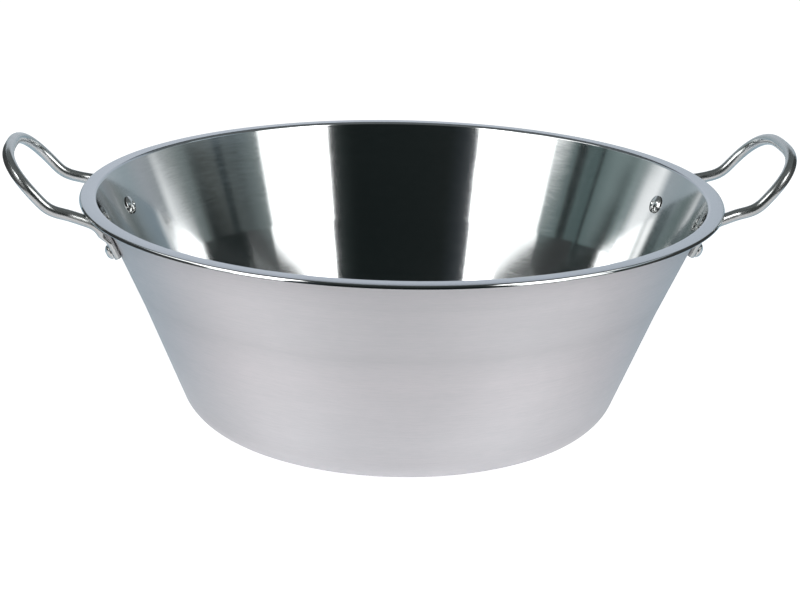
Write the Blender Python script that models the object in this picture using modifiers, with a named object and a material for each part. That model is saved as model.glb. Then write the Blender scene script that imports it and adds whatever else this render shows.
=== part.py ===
# Jam pan of spun stainless steel sheet, with two riveted wire loop handles.
#
# Frame: +Z up, the flat base rests on z = 0 and the turning axis is the Z axis.
# The handles lie on +X and -X, and -Y is the side that faces the viewer.
# All lengths are in metres, so each size below is written as millimetres * MM.

from math import asin, atan2, cos, pi, radians, sin, sqrt, tan

import bmesh
import bpy
from mathutils import Matrix, Vector

MM = 0.001

# Pan sheet
SHEET = 1.0 * MM                  # thickness of the steel
RIM_DIAMETER = 380 * MM           # over the folded edge
FLANGE_WIDTH = 9.4 * MM           # from the inner wall to the folded edge
FLOOR_DIAMETER = 250.6 * MM       # where the inner wall line meets the floor
PAN_HEIGHT = 136.5 * MM           # table to the top of the flange
FLOOR_CORNER_RADIUS = 23 * MM     # inside, between floor and wall
MOUTH_RADIUS = 1.2 * MM           # under the flange, between it and the wall
KNUCKLE_DROP = 61.5 * MM          # soft ring where the wall changes its slope, below the top
KNUCKLE_INSET = 1.3 * MM          # how far that ring lies inside a straight wall
KNUCKLE_RADIUS = 60 * MM
HEM_WIDTH = 4.6 * MM              # edge of the flange, folded under and pressed
HEM_SEAM = 0.1 * MM               # between the folded layers

# Rivets
RIVET_SPACING = 92.7 * MM         # between the two rivets of a handle
RIVET_DROP = 22.8 * MM            # rivet axis below the top of the flange
SHANK_DIAMETER = 5.0 * MM
INNER_HEAD_DIAMETER = 11.4 * MM
INNER_HEAD_HEIGHT = 2.4 * MM
OUTER_HEAD_DIAMETER = 8.8 * MM
OUTER_HEAD_HEIGHT = 2.8 * MM
HEAD_EDGE = 0.5 * MM              # upright edge of a head, below its dome
RECESS_DIAMETER = 3.2 * MM        # punch mark in the middle of each head
RECESS_DEPTH = 0.5 * MM

# Handle wire and its flattened ends
WIRE_DIAMETER = 6.7 * MM
PADDLE_THICKNESS = 4.0 * MM
PADDLE_WIDTH = 12.0 * MM
PADDLE_TAIL = 4.8 * MM            # from the rivet axis to the end of the paddle
PADDLE_CORNER = 2.5 * MM
PADDLE_MARGIN = 1.4 * MM          # flat metal above the outer head
ELBOW_RADIUS = 9 * MM             # from the wall out to the leg

# Handle loop, bent up from a flat loop of wire
LOOP_WIDTH = 86.4 * MM            # between the middles of the two legs
LEG_RUN = 14.0 * MM               # straight leg from the rim to the bend
LEG_RISE = radians(13.9)
LOOP_RISE = radians(34.5)         # bend of the loop, on top of the legs' rise
LOOP_BEND_RADIUS = 17.4 * MM
LOOP_LENGTH = 56.7 * MM           # rim to the middle of the end, along the loop
LOOP_END_LENGTH = 33.3 * MM       # part of that length taken by the rounded end
LOOP_END_SQUARENESS = 2.9         # 2 is an ellipse, more is squarer
SPLAY_SETBACK = 6.4 * MM          # from the bend back to where the legs spread
SPLAY_RADIUS = 16 * MM

# Clearances
GAP = 0.3 * MM                    # between two pieces that rest on each other
RIM_GAP = 0.5 * MM                # between the folded edge and the leg under it
HOLE_GAP = 0.3 * MM               # between a shank and its hole, all round

# Steels: linear colour and roughness
BRUSHED_STEEL = ("brushed_steel", (0.60, 0.61, 0.63), 0.30)
WIRE_STEEL = ("polished_wire", (0.62, 0.63, 0.63), 0.12)
RIVET_STEEL = ("rivet_steel", (0.66, 0.66, 0.65), 0.20)

# Fineness of the faceted model
PAN_TURNS = 80
FLOOR_CORNER_STEPS = 6
KNUCKLE_STEPS = 2
MOUTH_STEPS = 3
HEM_STEPS = 6
RIVET_TURNS = 16
DOME_STEPS = 4
WIRE_SIDES = 12
PADDLE_STATIONS = (0, 0.12, 0.3, 0.6, 1)
FLATTENING_STEPS = 4
ELBOW_STEPS = 6
SPLAY_STEPS = 3
LEG_STEPS = 4
LOOP_END_STEPS = 16
SHARP_ANGLE = radians(50)
MERGE = 0.00001

WIRE_RADIUS = WIRE_DIAMETER / 2
RIM_RADIUS = RIM_DIAMETER / 2
HEM_HEIGHT = 2 * SHEET + HEM_SEAM
HOLE_DIAMETER = SHANK_DIAMETER + 2 * HOLE_GAP
PADDLE_TOP = OUTER_HEAD_DIAMETER / 2 + PADDLE_MARGIN

# Corners of the inner face, as (radius, height)
MOUTH = Vector((RIM_RADIUS - FLANGE_WIDTH, PAN_HEIGHT))
FLOOR = Vector((FLOOR_DIAMETER / 2, SHEET))
KNUCKLE = MOUTH.lerp(FLOOR, KNUCKLE_DROP / (MOUTH.y - FLOOR.y)) - Vector((KNUCKLE_INSET, 0))

# Slopes from the upright, above and below the knuckle
UPPER_SLOPE = atan2(MOUTH.x - KNUCKLE.x, MOUTH.y - KNUCKLE.y)
LOWER_SLOPE = atan2(KNUCKLE.x - FLOOR.x, KNUCKLE.y - FLOOR.y)

# Radius of the outer wall at the rivets, and their angle from the X axis
RIVET_RADIUS = MOUTH.x - RIVET_DROP * tan(UPPER_SLOPE) + SHEET / cos(UPPER_SLOPE)
RIVET_ANGLE = asin(RIVET_SPACING / 2 / RIVET_RADIUS)


def clear_scene():
    for item in list(bpy.data.objects):
        bpy.data.objects.remove(item, do_unlink=True)


def new_collection(name):
    collection = bpy.data.collections.new(name)
    bpy.context.scene.collection.children.link(collection)
    return collection


def steel(name, colour, roughness):
    material = bpy.data.materials.new(name)
    material.use_nodes = True
    shader = material.node_tree.nodes["Principled BSDF"]
    shader.inputs["Base Color"].default_value = (*colour, 1)
    shader.inputs["Metallic"].default_value = 1
    shader.inputs["Roughness"].default_value = roughness
    material.diffuse_color = (*colour, 1)
    return material


def add_object(mesh, collection, material=None):
    item = bpy.data.objects.new(mesh.name, mesh)
    collection.objects.link(item)
    if material:
        mesh.materials.append(material)
    return item


def outline_mesh(name, points):
    """An open chain of edges in the XZ plane, from (radius, height) pairs."""
    mesh = bpy.data.meshes.new(name)
    edges = [(i, i + 1) for i in range(len(points) - 1)]
    mesh.from_pydata([(x, 0, z) for x, z in points], edges, [])
    return mesh


def turn(item, steps):
    screw = item.modifiers.new("Turn", "SCREW")
    screw.axis = "Z"
    screw.angle = 2 * pi
    screw.steps = steps
    screw.render_steps = steps
    screw.use_merge_vertices = True
    screw.merge_threshold = MERGE
    screw.use_smooth_shade = True


def cut(item, cutters):
    boolean = item.modifiers.new("Rivet holes", "BOOLEAN")
    boolean.operation = "DIFFERENCE"
    boolean.solver = "EXACT"
    boolean.operand_type = "COLLECTION"
    boolean.collection = cutters


def fillet(before, corner, after, radius, steps):
    """Arc that rounds a corner, in 2D or 3D, within half of the stretches beside it."""
    back = before - corner
    ahead = after - corner
    half = back.angle(ahead) / 2
    reach = min(radius / tan(half), back.length / 2, ahead.length / 2)
    centre = corner + (back.normalized() + ahead.normalized()).normalized() * reach / cos(half)
    first = corner + back.normalized() * reach - centre
    last = corner + ahead.normalized() * reach - centre
    sweep = pi - 2 * half
    arc = []
    for i in range(steps + 1):
        turned = sweep * i / steps
        arc.append(centre + (first * sin(sweep - turned) + last * sin(turned)) / sin(sweep))
    return arc


def inner_line():
    """Inner face of the sheet, from the middle of the floor to the flange."""
    middle = Vector((0, SHEET))
    edge = Vector((RIM_RADIUS, PAN_HEIGHT))
    line = [middle]
    line += fillet(middle, FLOOR, KNUCKLE, FLOOR_CORNER_RADIUS, FLOOR_CORNER_STEPS)
    line += fillet(FLOOR, KNUCKLE, MOUTH, KNUCKLE_RADIUS, KNUCKLE_STEPS)
    line += fillet(KNUCKLE, MOUTH, edge, MOUTH_RADIUS + SHEET, MOUTH_STEPS)
    return line


def outer_line():
    """Outer face of the sheet: the same corners, moved out by its thickness."""
    middle = Vector((0, 0))
    floor = Vector((FLOOR.x + SHEET / cos(LOWER_SLOPE) - SHEET * tan(LOWER_SLOPE), 0))
    facing = (LOWER_SLOPE + UPPER_SLOPE) / 2
    spread = SHEET / cos((UPPER_SLOPE - LOWER_SLOPE) / 2)
    knuckle = KNUCKLE + Vector((cos(facing), -sin(facing))) * spread
    mouth_radius = MOUTH.x + SHEET / cos(UPPER_SLOPE) - SHEET * tan(UPPER_SLOPE)
    mouth = Vector((mouth_radius, PAN_HEIGHT - SHEET))
    hem_step = Vector((RIM_RADIUS - HEM_WIDTH, PAN_HEIGHT - SHEET))
    line = [middle]
    line += fillet(middle, floor, knuckle, FLOOR_CORNER_RADIUS + SHEET, FLOOR_CORNER_STEPS)
    line += fillet(floor, knuckle, mouth, KNUCKLE_RADIUS - SHEET, KNUCKLE_STEPS)
    line += fillet(knuckle, mouth, hem_step, MOUTH_RADIUS, MOUTH_STEPS)
    line.append(hem_step)
    return line


def hem_line():
    """Round outer edge of the flange, from its top face to the step underneath."""
    radius = HEM_HEIGHT / 2
    centre = Vector((RIM_RADIUS - radius, PAN_HEIGHT - radius))
    line = []
    for i in range(HEM_STEPS + 1):
        angle = pi / 2 - pi * i / HEM_STEPS
        line.append(centre + Vector((cos(angle), sin(angle))) * radius)
    line.append(Vector((RIM_RADIUS - HEM_WIDTH, PAN_HEIGHT - HEM_HEIGHT)))
    return line


def make_pan_body(collection, cutters):
    profile = inner_line() + hem_line() + outer_line()[::-1]
    body = add_object(outline_mesh("pan_body", profile), collection, steel(*BRUSHED_STEEL))
    turn(body, PAN_TURNS)
    cut(body, cutters)


def rivet_frame(angle):
    """Axes at a rivet on the outer wall: X down the wall, Y round it, Z straight out."""
    down = Vector((-sin(UPPER_SLOPE) * cos(angle), -sin(UPPER_SLOPE) * sin(angle), -cos(UPPER_SLOPE)))
    around = Vector((-sin(angle), cos(angle), 0))
    out = down.cross(around)
    frame = Matrix((down, around, out)).transposed().to_4x4()
    frame.translation = (
        RIVET_RADIUS * cos(angle), RIVET_RADIUS * sin(angle), PAN_HEIGHT - RIVET_DROP,
    )
    return frame


def head_line(diameter, height):
    """Half outline of a domed head, from its punch mark to its flat seat at 0."""
    radius = diameter / 2
    rise = height - HEAD_EDGE
    dome_radius = (radius ** 2 + rise ** 2) / (2 * rise)
    mark = RECESS_DIAMETER / 2

    def dome_height(x):
        return height - dome_radius + sqrt(dome_radius ** 2 - x ** 2)

    bottom = dome_height(mark) - RECESS_DEPTH
    line = [(0, bottom), (mark - RECESS_DEPTH, bottom)]
    for i in range(DOME_STEPS + 1):
        x = mark + (radius - mark) * i / DOME_STEPS
        line.append((x, dome_height(x)))
    line.append((radius, 0))
    return line


def make_rivet(place, angle, collection, material):
    """One solid: head outside the paddle, shank through both, head inside the wall."""
    outer_seat = GAP + PADDLE_THICKNESS + GAP
    inner_seat = -SHEET - GAP
    shank = SHANK_DIAMETER / 2
    profile = [(x, outer_seat + z) for x, z in head_line(OUTER_HEAD_DIAMETER, OUTER_HEAD_HEIGHT)]
    profile += [(shank, outer_seat), (shank, inner_seat)]
    inner_head = head_line(INNER_HEAD_DIAMETER, INNER_HEAD_HEIGHT)
    profile += [(x, inner_seat - z) for x, z in reversed(inner_head)]
    rivet = add_object(outline_mesh("rivet_" + place, profile), collection, material)
    turn(rivet, RIVET_TURNS)
    rivet.matrix_world = rivet_frame(angle)


def make_cutter(place, angle, cutters):
    """Cylinder for the hole through the wall and the paddle."""
    mesh = bpy.data.meshes.new("hole_" + place)
    shape = bmesh.new()
    bmesh.ops.create_cone(
        shape, cap_ends=True, segments=RIVET_TURNS,
        radius1=HOLE_DIAMETER / 2, radius2=HOLE_DIAMETER / 2,
        depth=2 * (SHEET + GAP + PADDLE_THICKNESS + OUTER_HEAD_HEIGHT),
    )
    shape.to_mesh(mesh)
    shape.free()
    cutter = add_object(mesh, cutters)
    cutter.matrix_world = rivet_frame(angle)
    cutter.hide_render = True
    cutter.display_type = "WIRE"


def leg_at_rim():
    """Where the middle of a leg passes under the folded edge, as x and z."""
    x = sqrt(RIM_RADIUS ** 2 - (LOOP_WIDTH / 2) ** 2)
    z = PAN_HEIGHT - HEM_HEIGHT - RIM_GAP - WIRE_RADIUS / cos(LEG_RISE)
    return x, z


def loop_point(along, side):
    """Place on the bent loop: so far along it from the rim, and so far sideways."""
    x, z = leg_at_rim()
    run = min(along, LEG_RUN)
    x += run * cos(LEG_RISE)
    z += run * sin(LEG_RISE)
    turned = min((along - run) / LOOP_BEND_RADIUS, LOOP_RISE)
    heading = LEG_RISE + turned
    x += LOOP_BEND_RADIUS * (sin(heading) - sin(LEG_RISE))
    z += LOOP_BEND_RADIUS * (cos(LEG_RISE) - cos(heading))
    rest = along - run - turned * LOOP_BEND_RADIUS
    return Vector((x + rest * cos(heading), side, z + rest * sin(heading)))


def loop_line():
    """Middle of the wire, from the bend of one leg to the middle of the loop's end."""
    end_length = min(LOOP_END_LENGTH, LOOP_LENGTH - LEG_RUN)
    end_start = LOOP_LENGTH - end_length
    side = LOOP_WIDTH / 2
    power = 2 / LOOP_END_SQUARENESS
    line = []
    for i in range(LEG_STEPS):
        along = LEG_RUN + (end_start - LEG_RUN) * i / LEG_STEPS
        line.append(loop_point(along, side))
    for i in range(LOOP_END_STEPS):
        angle = pi / 2 * i / LOOP_END_STEPS
        along = end_start + end_length * sin(angle) ** power
        line.append(loop_point(along, side * cos(angle) ** power))
    line.append(loop_point(LOOP_LENGTH, 0))
    return line


def handle_line():
    """Middle of the wire from the end of a paddle to the middle of the loop.

    Also gives the length over which the flat paddle turns into round wire.
    """
    frame = rivet_frame(RIVET_ANGLE)
    up = -frame.col[0].xyz
    seat = frame.translation + frame.col[2].xyz * (GAP + WIRE_RADIUS)
    tail = seat - up * PADDLE_TAIL

    # The elbow's corner: up the wall from the rivet to the height of the leg
    rim_x, rim_z = leg_at_rim()
    slope = tan(LEG_RISE)
    climb = (rim_z + (seat.x - rim_x) * slope - seat.z) / (up.z - up.x * slope)
    elbow = seat + up * climb

    loop = loop_line()
    splay = loop_point(max(LEG_RUN - SPLAY_SETBACK, 0), LOOP_WIDTH / 2)
    elbow_arc = fillet(tail, elbow, splay, ELBOW_RADIUS, ELBOW_STEPS)
    splay_arc = fillet(elbow, splay, loop[0], SPLAY_RADIUS, SPLAY_STEPS)
    paddle_end = seat + up * PADDLE_TOP
    flattening = (elbow_arc[0] - paddle_end).length
    line = [tail.lerp(seat, share) for share in PADDLE_STATIONS]
    for i in range(FLATTENING_STEPS):
        line.append(paddle_end + up * flattening * i / FLATTENING_STEPS)
    return line + elbow_arc + splay_arc + loop, flattening


def section_size(travel, flattening):
    """Half width, half thickness and squareness of the wire, so far from its end."""
    share = (travel - PADDLE_TAIL - PADDLE_TOP) / flattening
    share = min(max(share, 0), 1)
    share = share * share * (3 - 2 * share)
    width = PADDLE_WIDTH / 2
    if travel < PADDLE_CORNER:
        width -= PADDLE_CORNER - sqrt(PADDLE_CORNER ** 2 - (PADDLE_CORNER - travel) ** 2)
    half_width = width + (WIRE_RADIUS - width) * share
    half_thickness = PADDLE_THICKNESS / 2 + (WIRE_RADIUS - PADDLE_THICKNESS / 2) * share
    flat_squareness = 6
    round_squareness = 2
    return half_width, half_thickness, flat_squareness + (round_squareness - flat_squareness) * share


def section_ring(middle, across, out, half_width, half_thickness, squareness):
    """Points round one section of the wire: a circle, or a rounded rectangle."""
    power = 2 / squareness
    points = []
    for i in range(WIRE_SIDES):
        angle = 2 * pi * (i + 0.5) / WIRE_SIDES
        x = abs(cos(angle)) ** power * (1 if cos(angle) > 0 else -1)
        y = abs(sin(angle)) ** power * (1 if sin(angle) > 0 else -1)
        points.append(middle + across * half_width * x + out * half_thickness * y)
    return points


def half_handle_mesh():
    """Half of a handle, lofted from the flat paddle into the round wire."""
    line, flattening = handle_line()
    frame = rivet_frame(RIVET_ANGLE)
    across = frame.col[1].xyz
    out = frame.col[2].xyz
    wall_out = out.copy()
    heading = line[1] - line[0]
    travel = 0
    shape = bmesh.new()
    rings = []
    for i, point in enumerate(line):
        towards = heading
        if i == len(line) - 1:
            towards = Vector((0, -1, 0))
        elif i > 0:
            towards = line[i + 1] - line[i - 1]
            travel += (point - line[i - 1]).length
        swing = heading.rotation_difference(towards)
        across = swing @ across
        out = swing @ out
        heading = towards
        half_width, half_thickness, squareness = section_size(travel, flattening)
        middle = point - wall_out * (WIRE_RADIUS - half_thickness)
        corners = section_ring(middle, across, out, half_width, half_thickness, squareness)
        rings.append([shape.verts.new(corner) for corner in corners])
    for lower, upper in zip(rings, rings[1:]):
        for i in range(WIRE_SIDES):
            j = (i + 1) % WIRE_SIDES
            shape.faces.new((lower[i], lower[j], upper[j], upper[i]))
    shape.faces.new(rings[0][::-1])
    mesh = bpy.data.meshes.new("half_handle")
    shape.to_mesh(mesh)
    shape.free()
    mesh.shade_smooth()
    mesh.set_sharp_from_angle(angle=SHARP_ANGLE)
    return mesh


def make_handle(name, mesh, turned, collection, cutters):
    handle = bpy.data.objects.new(name, mesh)
    collection.objects.link(handle)
    handle.rotation_euler = (0, 0, turned)
    mirror = handle.modifiers.new("Other half", "MIRROR")
    mirror.use_axis = (False, True, False)
    mirror.merge_threshold = MERGE
    cut(handle, cutters)


def main():
    clear_scene()
    parts = new_collection("jam_pan")
    cutters = new_collection("cutters")
    rivet_places = {
        "right_back": RIVET_ANGLE,
        "right_front": -RIVET_ANGLE,
        "left_back": pi - RIVET_ANGLE,
        "left_front": pi + RIVET_ANGLE,
    }
    rivet_steel = steel(*RIVET_STEEL)
    for place, angle in rivet_places.items():
        make_cutter(place, angle, cutters)
        make_rivet(place, angle, parts, rivet_steel)
    make_pan_body(parts, cutters)
    half_handle = half_handle_mesh()
    half_handle.materials.append(steel(*WIRE_STEEL))
    make_handle("handle_right", half_handle, 0, parts, cutters)
    make_handle("handle_left", half_handle, pi, parts, cutters)


main()
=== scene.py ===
"""Looks for the jam pan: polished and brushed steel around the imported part."""

from math import asin, atan2, cos, pi, radians, sin, sqrt, tan

import bmesh
import bpy
from mathutils import Euler, Matrix, Vector


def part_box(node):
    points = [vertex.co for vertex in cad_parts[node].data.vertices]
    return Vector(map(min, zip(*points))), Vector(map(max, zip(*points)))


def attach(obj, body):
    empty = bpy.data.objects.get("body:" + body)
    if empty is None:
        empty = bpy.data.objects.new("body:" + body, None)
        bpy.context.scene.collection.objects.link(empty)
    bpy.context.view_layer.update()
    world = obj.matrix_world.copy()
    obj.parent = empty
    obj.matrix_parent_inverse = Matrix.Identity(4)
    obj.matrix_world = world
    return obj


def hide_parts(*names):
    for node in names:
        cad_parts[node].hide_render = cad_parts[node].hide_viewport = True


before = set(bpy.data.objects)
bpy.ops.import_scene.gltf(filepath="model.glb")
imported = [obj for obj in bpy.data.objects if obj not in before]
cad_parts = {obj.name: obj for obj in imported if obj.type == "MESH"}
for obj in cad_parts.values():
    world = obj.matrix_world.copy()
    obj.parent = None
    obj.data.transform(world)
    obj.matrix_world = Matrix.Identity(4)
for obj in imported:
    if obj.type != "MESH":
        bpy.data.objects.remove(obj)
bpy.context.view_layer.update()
pan_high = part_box("pan_body")[1]

MM = 0.001
MICRON = 0.000001

# The pan, as in its solid
RIM_RADIUS = pan_high.x            # over the folded edge
PAN_HEIGHT = pan_high.z            # table to the top of the flange
SHEET = 1.0 * MM                   # thickness of the steel
FLANGE_WIDTH = 9.4 * MM            # from the inner wall to the folded edge
FLOOR_RADIUS = 125.3 * MM          # where the inner wall line meets the floor
FLOOR_CORNER_RADIUS = 23 * MM      # inside, between floor and wall
MOUTH_RADIUS = 1.2 * MM            # under the flange, between it and the wall
KNUCKLE_DROP = 61.5 * MM           # soft ring where the wall changes its slope, below the top
KNUCKLE_INSET = 1.3 * MM           # how far that ring lies inside a straight wall
KNUCKLE_RADIUS = 60 * MM
HEM_WIDTH = 4.6 * MM               # edge of the flange, folded under and pressed
HEM_SEAM = 0.1 * MM                # between the folded layers

# Outline of the folded edge, finer than in the solid
CROWN_WIDTH = 3.4 * MM             # outer part of the flange, which falls a little
CROWN_TILT = radians(6)
SHOULDER_RADIUS = 0.8 * MM         # from the crown to the steep face
SHOULDER_TILT = radians(50)
FACE_TILT = radians(82)
TOE_RADIUS = 0.25 * MM             # from the face to the underside
LIP_EDGE = 0.25 * MM               # rounding of the folded layer's free edge
LIP_MIDDLE = 0.3 * LIP_EDGE        # middle of that rounding, from both of its faces
SEAM_DEPTH = 1.6 * MM              # from the free edge to the end of the open seam
SATIN_DEPTH = 1.0 * MM             # lower end of the flange's satin, inside, below the top

# The rivets, as in their solids
RIVET_SPACING = 92.7 * MM          # between the two rivets of a handle
RIVET_DROP = 22.8 * MM             # rivet axis below the top of the flange
SHANK_DIAMETER = 5.0 * MM
INNER_HEAD_DIAMETER = 11.4 * MM
INNER_HEAD_HEIGHT = 2.4 * MM
OUTER_HEAD_DIAMETER = 8.8 * MM
OUTER_HEAD_HEIGHT = 2.8 * MM
HEAD_EDGE = 0.5 * MM               # upright edge of a head, below its dome
RECESS_DIAMETER = 3.2 * MM         # punch mark in the middle of each head
RECESS_DEPTH = 0.5 * MM

# Rounded edges of a head, which the solids leave out
RECESS_FLOOR_RADIUS = 0.4 * MM
RECESS_RIM_RADIUS = 0.3 * MM
HEAD_EDGE_RADIUS = 0.3 * MM
RECESS_FLAT = 0.6                  # share of the punch mark's floor with a point at its end
RIM_LEAD = 0.6 * MM                # place on the dome that the punch mark's rounded rim leads to
DOME_START = 0.5 * MM              # from the punch mark to the dome's first point
DOME_END = 0.35 * MM               # from the dome's last point to the head's edge

# The handle wire, as in its solid
WIRE_RADIUS = 3.35 * MM
PADDLE_THICKNESS = 4.0 * MM        # flattened end of the wire
PADDLE_WIDTH = 12.0 * MM
PADDLE_TAIL = 4.8 * MM             # from the rivet axis to the end of the paddle
PADDLE_CORNER = 2.5 * MM
PADDLE_MARGIN = 1.4 * MM           # flat metal above the outer head
ELBOW_RADIUS = 9 * MM              # from the wall out to the leg
LOOP_WIDTH = 86.4 * MM             # between the middles of the two legs
LEG_RUN = 14.0 * MM                # straight leg from the rim to the bend
LEG_RISE = radians(13.9)
LOOP_RISE = radians(34.5)          # bend of the loop, on top of the legs' rise
LOOP_BEND_RADIUS = 17.4 * MM
LOOP_LENGTH = 56.68 * MM           # rim to the middle of the end, 0.02 mm inside the solid's
LOOP_END_LENGTH = 33.3 * MM        # part of that length taken by the rounded end
LOOP_END_SQUARENESS = 2.9          # 2 is an ellipse, more is squarer
SPLAY_SETBACK = 6.4 * MM           # from the bend back to where the legs spread
SPLAY_RADIUS = 16 * MM

# Rounded edge of a paddle's end, which the solid leaves out
PADDLE_EDGE = 0.45 * MM
PADDLE_EDGE_MIDDLE = 0.3 * PADDLE_EDGE
PADDLE_FIRST = 0.02 * MM           # least distance from the end at which the width is taken

# Gaps, as between the solids
GAP = 0.3 * MM
RIM_GAP = 0.5 * MM

# Fineness
PAN_TURNS = 360
RIVET_TURNS = 64
WIRE_SIDES = 36
WALL_STEP = 4 * MM
RING_STEP = 0.8 * MM
SUPPORT = 0.3 * MM                 # from the end of a long stretch to its nearest point
HEM_SUPPORT = 0.05 * MM
FLOOR_CORNER_STEPS = 28
KNUCKLE_STEPS = 8
INNER_MOUTH_STEPS = 10
OUTER_MOUTH_STEPS = 8
EDGE_STEPS = 8
FACE_STEPS = 12
HEAD_EDGE_STEPS = 5
DOME_STEPS = 11
ELBOW_STEPS = 60
SPLAY_STEPS = 30
LEG_STEPS = 60
LOOP_END_STEPS = 900
EASING_PASSES = 12
TURNED_SHARP_ANGLE = radians(50)
WIRE_SHARP_ANGLE = radians(60)
SAME_PLACE = 0.0001 * MM
WELD = 0.01 * MM

HEM_HEIGHT = 2 * SHEET + HEM_SEAM
CROWN_RADIUS = CROWN_WIDTH / sin(CROWN_TILT)
FACE_HEIGHT = (
    HEM_HEIGHT - CROWN_RADIUS * (1 - cos(CROWN_TILT))
    - SHOULDER_RADIUS * (cos(CROWN_TILT) - cos(SHOULDER_TILT)) - TOE_RADIUS * (cos(FACE_TILT) + 1)
)
FACE_RADIUS = FACE_HEIGHT / (cos(SHOULDER_TILT) - cos(FACE_TILT))
CROWN_START = (
    RIM_RADIUS - CROWN_WIDTH - SHOULDER_RADIUS * (sin(SHOULDER_TILT) - sin(CROWN_TILT))
    - FACE_RADIUS * (sin(FACE_TILT) - sin(SHOULDER_TILT)) - TOE_RADIUS * (1 - sin(FACE_TILT))
)
MOUTH = Vector((RIM_RADIUS - FLANGE_WIDTH, PAN_HEIGHT))
FLOOR = Vector((FLOOR_RADIUS, SHEET))
KNUCKLE = MOUTH.lerp(FLOOR, KNUCKLE_DROP / (MOUTH.y - FLOOR.y)) - Vector((KNUCKLE_INSET, 0))
UPPER_SLOPE = atan2(MOUTH.x - KNUCKLE.x, MOUTH.y - KNUCKLE.y)
LOWER_SLOPE = atan2(KNUCKLE.x - FLOOR.x, KNUCKLE.y - FLOOR.y)
RIVET_RADIUS = MOUTH.x - RIVET_DROP * tan(UPPER_SLOPE) + SHEET / cos(UPPER_SLOPE)
RIVET_ANGLE = asin(RIVET_SPACING / 2 / RIVET_RADIUS)
PADDLE_TOP = OUTER_HEAD_DIAMETER / 2 + PADDLE_MARGIN


# Lines


def eased(share):
    """A share from 0 to 1 that starts and ends slowly."""
    return share * share * (3 - 2 * share)


def fillet(before, corner, after, radius, steps):
    """Arc that rounds a corner, in 2D or 3D, within half of the stretches beside it."""
    back = before - corner
    ahead = after - corner
    half = back.angle(ahead) / 2
    reach = min(radius / tan(half), back.length / 2, ahead.length / 2)
    centre = corner + (back.normalized() + ahead.normalized()).normalized() * reach / cos(half)
    first = corner + back.normalized() * reach - centre
    last = corner + ahead.normalized() * reach - centre
    sweep = pi - 2 * half
    arc = []
    for i in range(steps + 1):
        turned = sweep * i / steps
        arc.append(centre + (first * sin(sweep - turned) + last * sin(turned)) / sin(sweep))
    return arc


def bent(line, radius, first, last, steps):
    """The line carried on over an arc that turns from one tilt to another."""
    start = line[-1]
    arc = []
    for i in range(1, steps + 1):
        tilt = first + (last - first) * i / steps
        arc.append(start + Vector((sin(tilt) - sin(first), cos(tilt) - cos(first))) * radius)
    return line + arc


def with_supports(line, support):
    """The line with each stretch over four supports long divided, and a point close to both its ends."""
    out = [line[0]]
    for a, b in zip(line, line[1:]):
        length = (b - a).length
        if length > 4 * support:
            out.append(a.lerp(b, support / length))
            count = max(1, round(length / WALL_STEP))
            out += [a.lerp(b, i / count) for i in range(1, count)]
            out.append(a.lerp(b, 1 - support / length))
        out.append(b)
    return out


def resample(line, step):
    """The same line with points at even distances."""
    travels = [0]
    for a, b in zip(line, line[1:]):
        travels.append(travels[-1] + (b - a).length)
    count = round(travels[-1] / step)
    out = []
    k = 0
    for i in range(count + 1):
        wanted = travels[-1] * i / count
        while k < len(travels) - 2 and travels[k + 1] < wanted:
            k += 1
        share = (wanted - travels[k]) / (travels[k + 1] - travels[k])
        out.append(line[k].lerp(line[k + 1], min(share, 1)))
    return out


def soften(line, passes):
    """The line with its bends eased. Its last point lies on the mirror plane Y = 0."""
    for _ in range(passes):
        after = line[-2].copy()
        after.y = -after.y
        long = line + [after]
        smooth = [(long[i - 1] + long[i] * 2 + long[i + 1]) / 4 for i in range(1, len(line))]
        line = [line[0]] + smooth
    return line


# Pan


def inner_line():
    """Inside of the pan, from the middle of the floor to the start of the crown."""
    middle = Vector((0, SHEET))
    crown = Vector((CROWN_START, PAN_HEIGHT))
    line = [middle]
    line += fillet(middle, FLOOR, KNUCKLE, FLOOR_CORNER_RADIUS, FLOOR_CORNER_STEPS)
    line += fillet(FLOOR, KNUCKLE, MOUTH, KNUCKLE_RADIUS, KNUCKLE_STEPS)
    line += fillet(KNUCKLE, MOUTH, crown, MOUTH_RADIUS + SHEET, INNER_MOUTH_STEPS)
    return line


def crown_line():
    """Outer part of the flange, which falls a little towards its edge."""
    return bent([Vector((CROWN_START, PAN_HEIGHT))], CROWN_RADIUS, 0, CROWN_TILT, EDGE_STEPS)


def hem_line():
    """Steep rounded face of the edge and the folded layer under it, with its seam."""
    line = bent([crown_line()[-1]], SHOULDER_RADIUS, CROWN_TILT, SHOULDER_TILT, EDGE_STEPS)
    line = bent(line, FACE_RADIUS, SHOULDER_TILT, FACE_TILT, FACE_STEPS)
    line = bent(line, TOE_RADIUS, FACE_TILT, pi, EDGE_STEPS)
    lip = RIM_RADIUS - HEM_WIDTH
    low = PAN_HEIGHT - HEM_HEIGHT
    high = low + SHEET
    seam_end = lip + SEAM_DEPTH
    fold = [
        (lip + LIP_EDGE, low),
        (lip + LIP_MIDDLE, low + LIP_MIDDLE),
        (lip, low + LIP_EDGE),
        (lip, high - LIP_EDGE),
        (lip + LIP_EDGE, high),
        (seam_end, high),
        (seam_end, PAN_HEIGHT - SHEET),
    ]
    return line + [Vector(place) for place in fold]


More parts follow.
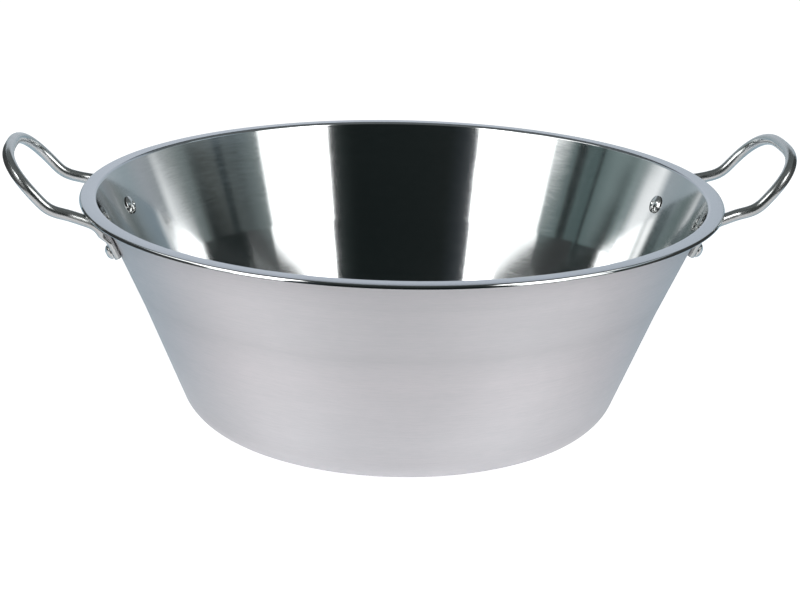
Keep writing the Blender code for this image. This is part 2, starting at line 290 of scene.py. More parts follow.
def outer_line():
    """Outside of the pan, from the middle of the base to the folded layer under the flange."""
    middle = Vector((0, 0))
    floor = Vector((FLOOR.x + SHEET / cos(LOWER_SLOPE) - SHEET * tan(LOWER_SLOPE), 0))
    facing = (LOWER_SLOPE + UPPER_SLOPE) / 2
    offset = SHEET / cos((UPPER_SLOPE - LOWER_SLOPE) / 2)
    knuckle = KNUCKLE + Vector((cos(facing), -sin(facing))) * offset
    mouth_radius = MOUTH.x + SHEET / cos(UPPER_SLOPE) - SHEET * tan(UPPER_SLOPE)
    mouth = Vector((mouth_radius, PAN_HEIGHT - SHEET))
    lip = Vector((RIM_RADIUS - HEM_WIDTH, PAN_HEIGHT - SHEET))
    line = [middle]
    line += fillet(middle, floor, knuckle, FLOOR_CORNER_RADIUS + SHEET, FLOOR_CORNER_STEPS)
    line += fillet(floor, knuckle, mouth, KNUCKLE_RADIUS - SHEET, KNUCKLE_STEPS)
    line += fillet(knuckle, mouth, lip, MOUTH_RADIUS, OUTER_MOUTH_STEPS)
    line.append(lip)
    return line


def turned_mesh(name, strips, turns):
    """Surface of revolution. Each strip is (points, material index) and carries on from the last one."""
    line = []
    slots = []
    for points, slot in strips:
        if line and (points[0] - line[-1]).length < SAME_PLACE:
            points = points[1:]
        slots += [slot] * (len(points) if line else len(points) - 1)
        line += points
    verts = []
    rings = []
    for point in line:
        if point.x < SAME_PLACE:
            rings.append([len(verts)])
            verts.append((0, 0, point.y))
            continue
        rings.append(range(len(verts), len(verts) + turns))
        for i in range(turns):
            angle = 2 * pi * i / turns
            verts.append((point.x * cos(angle), point.x * sin(angle), point.y))
    faces = []
    face_slots = []
    for low, high, slot in zip(rings, rings[1:], slots):
        for i in range(turns):
            j = (i + 1) % turns
            if len(low) == 1:
                face = (low[0], high[i], high[j])
            elif len(high) == 1:
                face = (low[j], low[i], high[0])
            else:
                face = (low[i], high[i], high[j], low[j])
            faces.append(face)
            face_slots.append(slot)
    mesh = bpy.data.meshes.new(name)
    mesh.from_pydata(verts, [], faces)
    mesh.polygons.foreach_set("material_index", face_slots)
    mesh.shade_smooth()
    mesh.set_sharp_from_angle(angle=TURNED_SHARP_ANGLE)
    shape = bmesh.new()
    shape.from_mesh(mesh)
    bmesh.ops.recalc_face_normals(shape, faces=shape.faces)
    shape.to_mesh(mesh)
    shape.free()
    return mesh


# Rivets


def rivet_frame(angle):
    """Axes at a rivet on the outer wall: X down the wall, Y round it, Z straight out."""
    down = Vector((-sin(UPPER_SLOPE) * cos(angle), -sin(UPPER_SLOPE) * sin(angle), -cos(UPPER_SLOPE)))
    around = Vector((-sin(angle), cos(angle), 0))
    out = down.cross(around)
    place = Matrix((down, around, out)).transposed().to_4x4()
    place.translation = (
        RIVET_RADIUS * cos(angle), RIVET_RADIUS * sin(angle), PAN_HEIGHT - RIVET_DROP,
    )
    return place


def head_line(diameter, height):
    """Half outline of a domed head, from its punch mark to its flat seat at 0."""
    radius = diameter / 2
    rise = height - HEAD_EDGE
    dome_radius = (radius ** 2 + rise ** 2) / (2 * rise)

    def on_dome(x):
        return Vector((x, height - dome_radius + sqrt(dome_radius ** 2 - x ** 2)))

    mark = RECESS_DIAMETER / 2
    rim = on_dome(mark)
    bottom = rim.y - RECESS_DEPTH
    foot = Vector((mark - RECESS_DEPTH, bottom))
    line = [Vector((0, bottom)), Vector((foot.x * RECESS_FLAT, bottom))]
    line += fillet(line[0], foot, rim, RECESS_FLOOR_RADIUS, HEAD_EDGE_STEPS)
    line += fillet(foot, rim, on_dome(mark + RIM_LEAD), RECESS_RIM_RADIUS, HEAD_EDGE_STEPS)
    first = mark + DOME_START
    last = radius - DOME_END
    for i in range(DOME_STEPS + 1):
        line.append(on_dome(first + (last - first) * i / DOME_STEPS))
    seat = Vector((radius, 0))
    line += fillet(line[-1], on_dome(radius), seat, HEAD_EDGE_RADIUS, HEAD_EDGE_STEPS)
    line.append(seat)
    return line


def rivet_mesh(name):
    """Both heads on their shank, along Z, with the pan's outer face at 0."""
    outer_seat = GAP + PADDLE_THICKNESS + GAP
    inner_seat = -SHEET - GAP
    shank = SHANK_DIAMETER / 2
    outer = head_line(OUTER_HEAD_DIAMETER, OUTER_HEAD_HEIGHT)
    inner = head_line(INNER_HEAD_DIAMETER, INNER_HEAD_HEIGHT)
    line = [Vector((p.x, outer_seat + p.y)) for p in outer]
    line += [Vector((shank, outer_seat)), Vector((shank, inner_seat))]
    line += [Vector((p.x, inner_seat - p.y)) for p in reversed(inner)]
    return turned_mesh(name, [(line, 0)], RIVET_TURNS)


# Handles


def leg_at_rim():
    """Where the middle of a leg passes under the folded edge, as X and Z."""
    x = sqrt(RIM_RADIUS ** 2 - (LOOP_WIDTH / 2) ** 2)
    z = PAN_HEIGHT - HEM_HEIGHT - RIM_GAP - WIRE_RADIUS / cos(LEG_RISE)
    return x, z


def loop_point(along, side):
    """Place on the bent loop: so far along it from the rim, and so far sideways."""
    x, z = leg_at_rim()
    run = min(along, LEG_RUN)
    x += run * cos(LEG_RISE)
    z += run * sin(LEG_RISE)
    turned = min((along - run) / LOOP_BEND_RADIUS, LOOP_RISE)
    heading = LEG_RISE + turned
    x += LOOP_BEND_RADIUS * (sin(heading) - sin(LEG_RISE))
    z += LOOP_BEND_RADIUS * (cos(LEG_RISE) - cos(heading))
    rest = along - run - turned * LOOP_BEND_RADIUS
    return Vector((x + rest * cos(heading), side, z + rest * sin(heading)))


def loop_line():
    """Middle of the wire from the bend of the loop to the middle of its end."""
    end_start = LOOP_LENGTH - LOOP_END_LENGTH
    side = LOOP_WIDTH / 2
    power = 2 / LOOP_END_SQUARENESS
    line = []
    for i in range(LEG_STEPS):
        line.append(loop_point(LEG_RUN + (end_start - LEG_RUN) * i / LEG_STEPS, side))
    for i in range(LOOP_END_STEPS):
        angle = pi / 2 * eased(i / LOOP_END_STEPS)
        along = end_start + LOOP_END_LENGTH * sin(angle) ** power
        line.append(loop_point(along, side * cos(angle) ** power))
    line.append(loop_point(LOOP_LENGTH, 0))
    return line


def handle_line():
    """Middle of the wire from a paddle's end to the middle of the loop, and the flattening's length."""
    place = rivet_frame(RIVET_ANGLE)
    up = -place.col[0].xyz
    seat = place.translation + place.col[2].xyz * (GAP + WIRE_RADIUS)
    tail = seat - up * PADDLE_TAIL
    rim_x, rim_z = leg_at_rim()
    slope = tan(LEG_RISE)
    climb = (rim_z + (seat.x - rim_x) * slope - seat.z) / (up.z - up.x * slope)
    elbow = seat + up * climb
    loop = loop_line()
    splay = loop_point(LEG_RUN - SPLAY_SETBACK, LOOP_WIDTH / 2)
    elbow_arc = fillet(tail, elbow, splay, ELBOW_RADIUS, ELBOW_STEPS)
    splay_arc = fillet(elbow, splay, loop[0], SPLAY_RADIUS, SPLAY_STEPS)
    flattening = (elbow_arc[0] - (seat + up * PADDLE_TOP)).length
    line = resample([tail, seat] + elbow_arc + splay_arc + loop, RING_STEP)
    return soften(line, EASING_PASSES), flattening


def section_size(travel, flattening):
    """Half width and half thickness of the wire, so far from its end."""
    share = (travel - PADDLE_TAIL - PADDLE_TOP) / flattening
    share = eased(min(max(share, 0), 1))
    width = PADDLE_WIDTH / 2
    if travel < PADDLE_CORNER:
        width -= PADDLE_CORNER - sqrt(PADDLE_CORNER ** 2 - (PADDLE_CORNER - travel) ** 2)
    half_width = width + (WIRE_RADIUS - width) * share
    half_thickness = PADDLE_THICKNESS / 2 + (WIRE_RADIUS - PADDLE_THICKNESS / 2) * share
    return half_width, half_thickness


def side_angle(i):
    """Direction of a point of the wire's section, seen from the middle of the wire."""
    return 2 * pi * (i + 0.5) / WIRE_SIDES


def section_ring(middle, across, out, half_width, half_thickness):
    """Round wire, or a flattened one: flat faces and round edges."""
    flat = half_width - half_thickness
    points = []
    for i in range(WIRE_SIDES):
        angle = side_angle(i)
        aside = (flat if cos(angle) > 0 else -flat) + half_thickness * cos(angle)
        points.append(middle + across * aside + out * half_thickness * sin(angle))
    return points


def handle_rings():
    """Sections of half a handle, from the flat paddle to the round wire, each with its distance."""
    line, flattening = handle_line()
    place = rivet_frame(RIVET_ANGLE)
    across = place.col[1].xyz
    out = place.col[2].xyz
    wall_out = out.copy()
    heading = line[1] - line[0]
    travel = 0
    rings = []
    for i, point in enumerate(line):
        towards = heading
        if i == len(line) - 1:
            towards = Vector((0, -1, 0))
        elif i > 0:
            towards = line[i + 1] - line[i - 1]
            travel += (point - line[i - 1]).length
        swing = heading.rotation_difference(towards)
        across = swing @ across
        out = swing @ out
        heading = towards
        half_width, half_thickness = section_size(max(travel, PADDLE_FIRST), flattening)
        middle = point - wall_out * (WIRE_RADIUS - half_thickness)
        insets = (0,) if i else (PADDLE_EDGE, PADDLE_EDGE_MIDDLE)
        for inset in insets:
            ring = section_ring(middle, across, out, half_width - inset, half_thickness - inset)
            rings.append((ring, travel))
    return rings


def handle_mesh(name):
    """Both halves of a handle. Each point keeps its place along and round the straight wire."""
    rings = handle_rings()
    shape = bmesh.new()
    place_layer = shape.verts.layers.float_vector.new("wire_place")
    for side in (1, -1):
        made = []
        for ring, travel in rings:
            made.append([shape.verts.new((p.x, p.y * side, p.z)) for p in ring])
            for i, vert in enumerate(made[-1]):
                angle = side_angle(i)
                vert[place_layer] = (travel, WIRE_RADIUS * cos(angle), WIRE_RADIUS * sin(angle))
        for low, high in zip(made, made[1:]):
            for i in range(WIRE_SIDES):
                j = (i + 1) % WIRE_SIDES
                shape.faces.new((low[i], low[j], high[j], high[i]))
        shape.faces.new(made[0])
    bmesh.ops.remove_doubles(shape, verts=shape.verts, dist=WELD)
    bmesh.ops.recalc_face_normals(shape, faces=shape.faces)
    mesh = bpy.data.meshes.new(name)
    shape.to_mesh(mesh)
    shape.free()
    mesh.shade_smooth()
    mesh.set_sharp_from_angle(angle=WIRE_SHARP_ANGLE)
    return mesh


# Materials


class Nodes:
    """Short way to write a node tree. A value is a number, a colour or another node's output."""

    def __init__(self, tree):
        self.tree = tree

    def add(self, kind, **values):
        node = self.tree.nodes.new(kind)
        for key, value in values.items():
            setattr(node, key, value)
        return node

    def put(self, socket, value):
        if hasattr(value, "is_output"):
            self.tree.links.new(value, socket)
        else:
            socket.default_value = value

    def math(self, operation, a, b=0.0, c=0.0):
        node = self.add("ShaderNodeMath", operation=operation)
        for socket, value in zip(node.inputs, (a, b, c)):
            self.put(socket, value)
        return node.outputs[0]

    def plus(self, a, b):
        return self.math("ADD", a, b)

    def minus(self, a, b):
        return self.math("SUBTRACT", a, b)

    def times(self, a, b):
        return self.math("MULTIPLY", a, b)

    def most(self, first, *others):
        for value in others:
            first = self.math("MAXIMUM", first, value)
        return first

    def blend(self, share, a, b):
        """That share of a, and the rest of b."""
        return self.math("MULTIPLY_ADD", a, share, self.times(b, 1 - share))

    def place(self, kind="Object"):
        return self.add("ShaderNodeTexCoord").outputs[kind]

    def split(self, vector):
        node = self.add("ShaderNodeSeparateXYZ")
        self.put(node.inputs[0], vector)
        return node.outputs

    def joined(self, x, y, z):
        node = self.add("ShaderNodeCombineXYZ")
        for socket, value in zip(node.inputs, (x, y, z)):
            self.put(socket, value)
        return node.outputs[0]

    def noise(self, vector, scale=1.0, detail=2.0, roughness=0.5):
        node = self.add("ShaderNodeTexNoise")
        self.put(node.inputs["Vector"], vector)
        node.inputs["Scale"].default_value = scale
        node.inputs["Detail"].default_value = detail
        node.inputs["Roughness"].default_value = roughness
        return node.outputs["Fac"]

    def remap(self, value, low, high, to_low=0.0, to_high=1.0):
        """From to_low at low to to_high at high, and level beyond them."""
        node = self.add("ShaderNodeMapRange")
        self.put(node.inputs["Value"], value)
        node.inputs["From Min"].default_value = low
        node.inputs["From Max"].default_value = high
        node.inputs["To Min"].default_value = to_low
        node.inputs["To Max"].default_value = to_high
        return node.outputs["Result"]

    def ramp(self, value, stops):
        """Colours along a value from 0 to 1, each stop as (place, colour)."""
        node = self.add("ShaderNodeValToRGB")
        self.put(node.inputs["Fac"], value)
        elements = node.color_ramp.elements
        while len(elements) < len(stops):
            elements.new(0.5)
        for element, (place, colour) in zip(elements, stops):
            element.position = place
            element.color = (*colour, 1)
        return node.outputs["Color"]

    def mix(self, share, a, b, blend="MIX"):
        """Colour a at 0 and b at 1. The node's colour sockets are its inputs 6 and 7 and its output 2."""
        node = self.add("ShaderNodeMix", data_type="RGBA", blend_type=blend)
        self.put(node.inputs["Factor"], share)
        for socket, colour in ((node.inputs[6], a), (node.inputs[7], b)):
            self.put(socket, colour if hasattr(colour, "is_output") else (*colour, 1))
        return node.outputs[2]

    def bump(self, height, distance, before=None):
        """Normal of that relief, on top of another one if it is given."""
        node = self.add("ShaderNodeBump")
        node.inputs["Strength"].default_value = 1.0
        node.inputs["Distance"].default_value = distance
        self.put(node.inputs["Height"], height)
        if before is not None:
            self.put(node.inputs["Normal"], before)
        return node.outputs["Normal"]


def new_metal(name):
    material = bpy.data.materials.new(name)
    material.use_nodes = True
    nodes = Nodes(material.node_tree)
    shader = material.node_tree.nodes["Principled BSDF"]
    shader.inputs["Metallic"].default_value = 1
    return material, nodes, shader


def spun_steel(name, pale, dark, roughness, anisotropy, line_scale, line_depth, wave_depth, bands_with_painted_reflection=None):
    """Steel with fine rings from the lathe and short hairlines, in gloss, tone and height."""
    material, nodes, shader = new_metal(name)
    place = nodes.place()
    x, y, z = nodes.split(place)
    radius = nodes.math("SQRT", nodes.plus(nodes.times(x, x), nodes.times(y, y)))
    travel = nodes.plus(z, radius)

    def rings(around, along):
        """Coordinates that stretch a noise round the pan's axis."""
        return nodes.joined(nodes.times(x, around), nodes.times(y, around), nodes.times(travel, along))

    fine = nodes.noise(rings(3, line_scale), detail=3, roughness=0.6)
    hairs = nodes.noise(rings(110, line_scale * 0.8), detail=4, roughness=0.65)
    broad = nodes.noise(rings(5, line_scale / 12), detail=2)
    cloud = nodes.noise(place, scale=14, detail=3)
    lines = nodes.blend(0.75, hairs, fine)
    tone = nodes.blend(0.65, lines, nodes.blend(0.3, broad, cloud))
    steel = nodes.mix(nodes.remap(tone, 0.4, 0.6), dark, pale)
    # Bands up the wall multiply the tone: partly painted reflection
    if bands_with_painted_reflection is not None:
        height = nodes.math("DIVIDE", z, PAN_HEIGHT)
        steel = nodes.mix(1.0, steel, nodes.ramp(height, bands_with_painted_reflection), "MULTIPLY")
    nodes.put(shader.inputs["Base Color"], steel)
    nodes.put(shader.inputs["Roughness"], nodes.remap(lines, 0.35, 0.65, *roughness))
    shader.inputs["Anisotropic"].default_value = anisotropy
    shader.inputs["Anisotropic Rotation"].default_value = 0.25
    tangent = nodes.add("ShaderNodeTangent", direction_type="RADIAL", axis="Z")
    nodes.put(shader.inputs["Tangent"], tangent.outputs[0])
    waves = nodes.bump(nodes.noise(rings(7, 22), detail=1), wave_depth)
    nodes.put(shader.inputs["Normal"], nodes.bump(lines, line_depth, waves))
    return material


def wire_steel(name):
    """Drawn wire: fine streaks along it, in gloss and height."""
    material, nodes, shader = new_metal(name)
    place = nodes.add("ShaderNodeAttribute", attribute_type="GEOMETRY", attribute_name="wire_place")
    along, across, out = nodes.split(place.outputs["Vector"])
    stretched = nodes.joined(nodes.times(along, 30), nodes.times(across, 1300), nodes.times(out, 1300))
    streaks = nodes.noise(stretched, detail=3, roughness=0.6)
    cloud = nodes.noise(nodes.place(), scale=90, detail=3)
    tone = nodes.remap(nodes.blend(0.4, cloud, streaks), 0.4, 0.6)
    nodes.put(shader.inputs["Base Color"], nodes.mix(tone, (0.50, 0.52, 0.51), (0.62, 0.63, 0.63)))
    nodes.put(shader.inputs["Roughness"], nodes.remap(streaks, 0.3, 0.7, 0.18, 0.28))
    nodes.put(shader.inputs["Normal"], nodes.bump(streaks, 4 * MICRON))
    return material


def rivet_steel(name):
    """Pressed steel, slightly dimpled and uneven in tone."""
    material, nodes, shader = new_metal(name)
    place = nodes.place()
    cloud = nodes.noise(place, scale=350, detail=3)
    fine = nodes.noise(place, scale=1800, detail=3, roughness=0.6)
    nodes.put(shader.inputs["Base Color"], nodes.mix(cloud, (0.54, 0.55, 0.54), (0.70, 0.70, 0.69)))
    nodes.put(shader.inputs["Roughness"], nodes.remap(fine, 0.3, 0.7, 0.12, 0.24))
    nodes.put(shader.inputs["Normal"], nodes.bump(cloud, 30 * MICRON))
    return material


# Tone of the outside up the wall, partly painted reflection: paler below the knuckle, where the wall faces
# more of the soft panels, and darker above it, where it faces more of the floor, with a dark ring just
# above the knuckle
KNUCKLE_HEIGHT = KNUCKLE.y / PAN_HEIGHT
OUTER_TONE_AND_PAINTED_REFLECTION = [
    (0.00, (1.00, 1.00, 1.00)),
    (0.10, (0.97, 0.97, 0.97)),
    (0.20, (1.00, 1.00, 1.00)),
    (KNUCKLE_HEIGHT - 0.04, (1.00, 0.99, 0.99)),
    (KNUCKLE_HEIGHT + 0.08, (0.93, 0.93, 0.93)),
    (KNUCKLE_HEIGHT + 0.15, (0.96, 0.96, 0.96)),
    (1.00, (0.97, 0.97, 0.97)),
]

# Places of the pan's finishes in its list of materials
INSIDE = 0
OUTSIDE = 1
FLANGE = 2
EDGE = 3


def pan_metals():
    """The pan's four finishes, in the order of INSIDE, OUTSIDE, FLANGE and EDGE."""
    polished = spun_steel(
        "polished_inside", pale=(0.61, 0.62, 0.62), dark=(0.57, 0.58, 0.58), roughness=(0.08, 0.12),
        anisotropy=0.75, line_scale=1400, line_depth=0.2 * MICRON, wave_depth=140 * MICRON,
    )
    brushed = spun_steel(
        "brushed_outside", pale=(0.71, 0.695, 0.71), dark=(0.635, 0.63, 0.645), roughness=(0.57, 0.67),
        anisotropy=0.60, line_scale=1500, line_depth=2.4 * MICRON, wave_depth=100 * MICRON,
        # Painted reflection up the outside wall, with a dark ring above the knuckle
        bands_with_painted_reflection=OUTER_TONE_AND_PAINTED_REFLECTION,
    )
    satin = spun_steel(
        "satin_flange", pale=(0.59, 0.61, 0.64), dark=(0.55, 0.57, 0.60), roughness=(0.17, 0.23),
        anisotropy=0.4, line_scale=2200, line_depth=1.0 * MICRON, wave_depth=20 * MICRON,
    )
    # Polished folded edge; its base colour, darker than the flange's, is painted shade for the dark line
    # along the rim
    bright = spun_steel(
        "rim_edge", pale=(0.52, 0.53, 0.53), dark=(0.46, 0.47, 0.47), roughness=(0.05, 0.09),
        anisotropy=0.4, line_scale=2200, line_depth=1.0 * MICRON, wave_depth=20 * MICRON,
    )
    return polished, brushed, satin, bright


# Pieces

RIVET_PLACES = {
    "right_back": RIVET_ANGLE,
    "right_front": -RIVET_ANGLE,
    "left_back": pi - RIVET_ANGLE,
    "left_front": pi + RIVET_ANGLE,
}


def add_object(name, data):
    thing = bpy.data.objects.new(name, data)
    bpy.context.scene.collection.objects.link(thing)
    return thing


def place_piece(name, mesh, metals, node):
    """Piece that stands for a solid, with its materials in its slots; the solid is hidden."""
    for metal in metals:
        mesh.materials.append(metal)
    piece = add_object(name, mesh)
    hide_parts(node)
    return piece


def make_pan():
    inner = with_supports(inner_line(), SUPPORT)
    split = next(i for i, point in enumerate(inner) if point.y > PAN_HEIGHT - SATIN_DEPTH)
    strips = [
        (inner[:split + 1], INSIDE),
        (inner[split:], FLANGE),
        (crown_line(), FLANGE),
        (with_supports(hem_line(), HEM_SUPPORT), EDGE),
        (with_supports(outer_line(), SUPPORT)[::-1], OUTSIDE),
    ]
    mesh = turned_mesh("pan_shell", strips, PAN_TURNS)
    piece = place_piece("pan_shell", mesh, pan_metals(), "pan_body")
    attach(piece, "root")


def make_rivets():
    metal = rivet_steel("pressed_rivet_steel")
    for place, angle in RIVET_PLACES.items():
        mesh = rivet_mesh("pressed_rivet_" + place)
        piece = place_piece("pressed_rivet_" + place, mesh, [metal], "rivet_" + place)
        piece.matrix_world = rivet_frame(angle)
        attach(piece, "root")


def make_handles():
    metal = wire_steel("polished_wire_steel")
    for side, turned in (("right", 0), ("left", pi)):
        mesh = handle_mesh("wire_loop_" + side)
        piece = place_piece("wire_loop_" + side, mesh, [metal], "handle_" + side)
        piece.rotation_euler = (0, 0, turned)
        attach(piece, "root")


# Studio, in metres

FLOOR_REACH = 6.0
FLOOR_DROP = 0.2 * MM
PLAIN_LEVEL = (0.30, 0.30, 0.30)   # floor and room, for all that is neither the metal nor the camera

CEILING_HEIGHT = 0.6
CEILING_GLOW = 0.12
SIDE_CARD_PLACE = 0.27             # left and right of the pan's middle
SIDE_CARD_LOW = 0.12
SIDE_CARD_HIGH = 0.21
SIDE_CARD_GLOW = 0.03

PANEL_DISTANCE = 1.15
PANEL_LOW = 0.30
PANEL_HIGH = 1.35
# Name, directions of its two edges in degrees from -Y towards +X, and radiance
PANELS = (
    ("soft_panel_left_outer", -78.4, -58.0, 2.0),
    ("soft_panel_left_inner", -58.0, -41.2, 5.4),
    ("soft_panel_right_inner", 31.9, 49.0, 4.5),
    ("soft_panel_right_outer", 49.0, 65.4, 2.2),
)

# Colours of the room, by their direction in degrees from -Y towards +X
WALL_COLOURS = (
    (-180, (0.70, 0.75, 0.82)),
    (-148, (0.42, 0.50, 0.54)),
    (-134, (0.48, 0.54, 0.58)),
    (-124, (0.48, 0.54, 0.55)),
    (-114, (0.28, 0.36, 0.36)),
    (-104, (0.26, 0.34, 0.34)),
    (-94, (0.10, 0.15, 0.15)),
    (-77, (0.20, 0.26, 0.26)),
    (-38, (0.04, 0.05, 0.06)),
    (-26, (0.015, 0.02, 0.02)),
    (18, (0.01, 0.015, 0.015)),
    (30, (0.02, 0.03, 0.03)),
    (62, (0.25, 0.30, 0.30)),
    (72, (0.10, 0.12, 0.12)),
    (90, (0.10, 0.11, 0.10)),
    (98, (0.20, 0.24, 0.24)),
    (106, (0.36, 0.40, 0.40)),
    (124, (0.46, 0.50, 0.54)),
    (134, (0.40, 0.48, 0.52)),
    (180, (0.70, 0.75, 0.82)),
)
UPPER_COLOURS = (
    (-180, (0.70, 0.75, 0.82)),
    (-130, (0.45, 0.52, 0.56)),
    (-114, (0.95, 1.05, 1.10)),
    (-92, (0.55, 0.65, 0.70)),
    (-80, (0.20, 0.28, 0.30)),
    (-40, (0.05, 0.06, 0.06)),
    (40, (0.05, 0.06, 0.06)),
    (62, (0.40, 0.52, 0.62)),
    (100, (0.65, 0.75, 0.80)),
    (120, (0.46, 0.54, 0.60)),
    (180, (0.70, 0.75, 0.82)),
)
# Height at which the upper colours start, by the same directions
UPPER_STARTS = (
    (-120, 0.33),
    (-100, 0.39),
    (-92, 0.45),
    (-40, 0.60),
    (40, 0.60),
    (65, 0.47),
    (90, 0.37),
    (110, 0.30),
)

CAMERA_LENS = 81
CAMERA_PLACE = (-0.0856, -1.03674, 0.40911)
CAMERA_TURN = (71.7743, -1.1303, -4.3478)    # in degrees


def add_card(name, corners):
    mesh = bpy.data.meshes.new(name)
    mesh.from_pydata(corners, [], [(0, 1, 2, 3)])
    return add_object(name, mesh)


def make_floor():
    """White sweep. In the metal it is pale in the middle and duller beside the pan, bluish at the back."""
    reach = FLOOR_REACH
    floor = add_card("studio_floor", [
        (-reach, -reach, 0), (reach, -reach, 0), (reach, reach, 0), (-reach, reach, 0),
    ])
    floor.location.z = -FLOOR_DROP
    material = bpy.data.materials.new("white_sweep")
    material.use_nodes = True
    material.node_tree.nodes.clear()
    nodes = Nodes(material.node_tree)
    path = nodes.add("ShaderNodeLightPath")
    glossy = path.outputs["Is Glossy Ray"]
    x, y, _ = nodes.split(nodes.place())
    beside = nodes.mix(nodes.remap(y, -0.12, 0.02), (0.28, 0.27, 0.29), (0.06, 0.19, 0.28))
    aside = nodes.remap(nodes.math("ABSOLUTE", x), 0.13, 0.24)
    shine = nodes.mix(aside, (0.42, 0.43, 0.45), beside)
    level = nodes.mix(glossy, PLAIN_LEVEL, shine)
    level = nodes.mix(path.outputs["Is Camera Ray"], level, (0.78, 0.78, 0.78))
    glow = nodes.add("ShaderNodeEmission")
    nodes.put(glow.inputs["Color"], level)
    lit = nodes.add("ShaderNodeBsdfDiffuse")
    lit.inputs["Color"].default_value = (0.8, 0.8, 0.8, 1)
    both = nodes.add("ShaderNodeAddShader")
    nodes.put(both.inputs[0], lit.outputs[0])
    nodes.put(both.inputs[1], glow.outputs[0])
    # In the metal the pale floor ends a little way in front of the pan
    dark = nodes.add("ShaderNodeEmission")
    dark.inputs["Color"].default_value = (0.06, 0.07, 0.07, 1)
    ended = nodes.add("ShaderNodeMixShader")
    nodes.put(ended.inputs[0], nodes.times(glossy, nodes.remap(y, -0.85, -0.50, 1, 0)))
    nodes.put(ended.inputs[1], both.outputs[0])
    nodes.put(ended.inputs[2], dark.outputs[0])
    out = nodes.add("ShaderNodeOutputMaterial")
    nodes.put(out.inputs["Surface"], ended.outputs[0])
    floor.data.materials.append(material)


def make_flag(name, corners, glow):
    """Dark card, seen only in the metal's reflections."""
    flag = add_card(name, corners)
    flag.visible_camera = False
    flag.visible_diffuse = False
    flag.visible_transmission = False
    flag.visible_shadow = False
    material = bpy.data.materials.new(name)
    material.use_nodes = True
    shader = material.node_tree.nodes["Principled BSDF"]
    shader.inputs["Base Color"].default_value = (0.02, 0.02, 0.02, 1)
    shader.inputs["Emission Color"].default_value = (0.9, 1.0, 1.0, 1)
    shader.inputs["Emission Strength"].default_value = glow
    flag.data.materials.append(material)


def ceiling_flag(name, left, right, front, back):
    z = CEILING_HEIGHT
    corners = [(left, front, z), (right, front, z), (right, back, z), (left, back, z)]
    make_flag(name, corners, CEILING_GLOW)


def side_card(name, x, front, back):
    low = SIDE_CARD_LOW
    high = SIDE_CARD_HIGH
    corners = [(x, front, low), (x, back, low), (x, back, high), (x, front, high)]
    make_flag(name, corners, SIDE_CARD_GLOW)


def make_flags():
    """Two flags over the pan, and a card beside each handle that darkens the ends of the rim."""
    ceiling_flag("ceiling_flag", left=-0.46, right=0.62, front=-0.22, back=0.22)
    ceiling_flag("ceiling_flag_back", left=-0.80, right=0.95, front=0.22, back=0.60)
    side_card("left_card", -SIDE_CARD_PLACE, front=-0.20, back=0.12)
    side_card("right_card", SIDE_CARD_PLACE, front=-0.20, back=0.02)


def make_panels():
    """Upright soft lights that face the pan's axis."""
    for name, left, right, radiance in PANELS:
        edges = []
        for angle in (radians(left), radians(right)):
            edges.append(Vector((sin(angle), -cos(angle), 0)) * PANEL_DISTANCE)
        middle = (edges[0] + edges[1]) / 2
        middle.z = (PANEL_LOW + PANEL_HIGH) / 2
        width = (edges[1] - edges[0]).length
        height = PANEL_HIGH - PANEL_LOW
        light = bpy.data.lights.new(name, "AREA")
        light.shape = "RECTANGLE"
        light.size = width
        light.size_y = height
        light.energy = radiance * pi * width * height
        lamp = add_object(name, light)
        lamp.location = middle
        facing = Vector((-middle.x, -middle.y, 0))
        lamp.rotation_euler = facing.to_track_quat("-Z", "Y").to_euler()


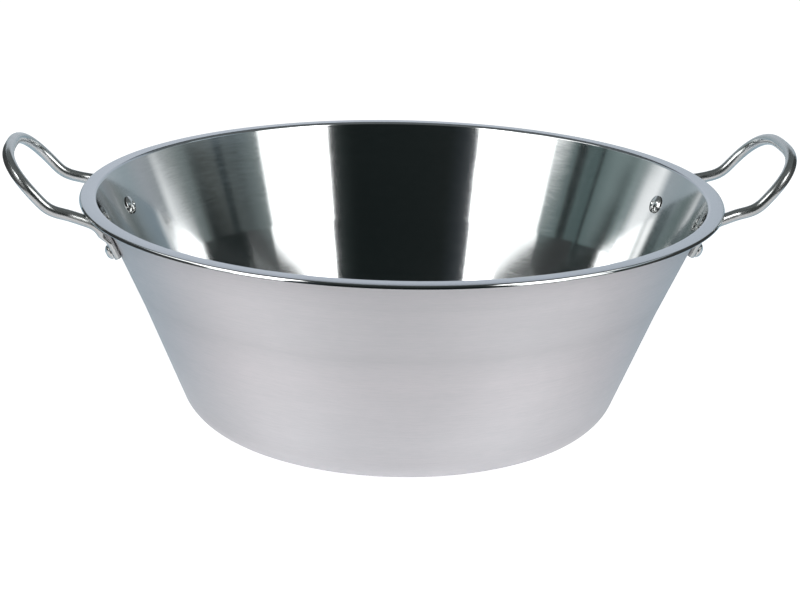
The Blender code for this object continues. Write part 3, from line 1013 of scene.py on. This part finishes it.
def make_world():
    """Room that only the metal shows. The camera sees plain white."""
    world = bpy.data.worlds.new("studio")
    bpy.context.scene.world = world
    world.use_nodes = True
    world.node_tree.nodes.clear()
    nodes = Nodes(world.node_tree)
    x, y, z = nodes.split(nodes.place("Generated"))
    azimuth = nodes.math("ARCTAN2", x, nodes.times(y, -1))
    turn = nodes.math("MULTIPLY_ADD", azimuth, 1 / (2 * pi), 0.5)

    def at(degrees):
        return degrees / 360 + 0.5

    def around(stops):
        return nodes.ramp(turn, [(at(degrees), colour) for degrees, colour in stops])

    def near(degrees, half, soft):
        """1 within so many degrees of a direction, 0 beyond."""
        away = nodes.math("ABSOLUTE", nodes.minus(turn, at(degrees)))
        return nodes.remap(away, (half - soft / 2) / 360, (half + soft / 2) / 360, 1, 0)

    def below(low, high):
        return nodes.remap(z, low, high, 1, 0)

    def above(low, high, full=1):
        return nodes.remap(z, low, high, 0, full)

    # Walls of the studio: pale behind, grey at the sides with narrow posts, dark in front
    walls = around(WALL_COLOURS)
    posts = nodes.most(near(-96.5, 0.8, 1), near(-86.5, 2.2, 2), near(80.5, 2.0, 2))
    walls = nodes.mix(posts, walls, (0.03, 0.04, 0.04))
    # Dark skirts and bright strips low on the side walls
    left_skirt = nodes.times(near(-96, 17, 5), below(0.26, 0.31))
    right_skirt = nodes.times(near(84, 11, 5), below(0.31, 0.36))
    walls = nodes.mix(nodes.plus(left_skirt, right_skirt), walls, (0.015, 0.02, 0.02))
    strips = nodes.times(nodes.plus(near(-127, 6, 5), near(108, 7, 4)), below(0.21, 0.26))
    walls = nodes.mix(strips, walls, (1.35, 1.38, 1.40))
    # Band above the walls, paler at the sides
    start = around([(degrees, (height, height, height)) for degrees, height in UPPER_STARTS])
    room = nodes.mix(nodes.remap(nodes.minus(z, start), 0.0, 0.03), walls, around(UPPER_COLOURS))
    # Pale light high at the sides, and weaker over the panels
    over_panels = nodes.plus(near(-60, 18, 4), near(48, 17, 4))
    high = nodes.most(
        nodes.times(near(-96, 16, 5), above(0.50, 0.56)),
        nodes.times(near(-78, 4, 3), above(0.43, 0.49)),
        nodes.times(near(78, 13, 6), above(0.54, 0.60)),
        nodes.times(over_panels, above(0.48, 0.56, 0.6)),
    )
    room = nodes.mix(high, room, (2.8, 2.8, 2.8))
    # Dark ceiling, lower at the back, but not in front of that light
    edge = nodes.remap(y, 0.55, 0.85, 0.60, 0.45)
    lower = nodes.remap(nodes.minus(z, edge), 0.0, 0.06)
    lower = nodes.times(lower, nodes.remap(high, 0, 1, 1, 0))
    room = nodes.mix(nodes.most(lower, above(0.70, 0.76)), room, (0.05, 0.06, 0.06))

    path = nodes.add("ShaderNodeLightPath")
    seen = nodes.most(path.outputs["Is Camera Ray"], path.outputs["Is Transmission Ray"])
    colour = nodes.mix(path.outputs["Is Glossy Ray"], PLAIN_LEVEL, room)
    colour = nodes.mix(seen, colour, (1, 1, 1))
    back = nodes.add("ShaderNodeBackground")
    nodes.put(back.inputs["Color"], colour)
    out = nodes.add("ShaderNodeOutputWorld")
    nodes.put(out.inputs["Surface"], back.outputs[0])


def make_camera():
    data = bpy.data.cameras.new("photo_camera")
    data.sensor_width = 36
    data.lens = CAMERA_LENS
    data.clip_start = 0.01
    data.clip_end = 50
    camera = add_object("photo_camera", data)
    turn = Euler([radians(angle) for angle in CAMERA_TURN])
    camera.matrix_world = Matrix.LocRotScale(Vector(CAMERA_PLACE), turn, None)
    bpy.context.scene.camera = camera


make_pan()
make_rivets()
make_handles()
make_floor()
make_flags()
make_world()
make_panels()
make_camera()
bpy.context.scene.view_settings.view_transform = "Standard"
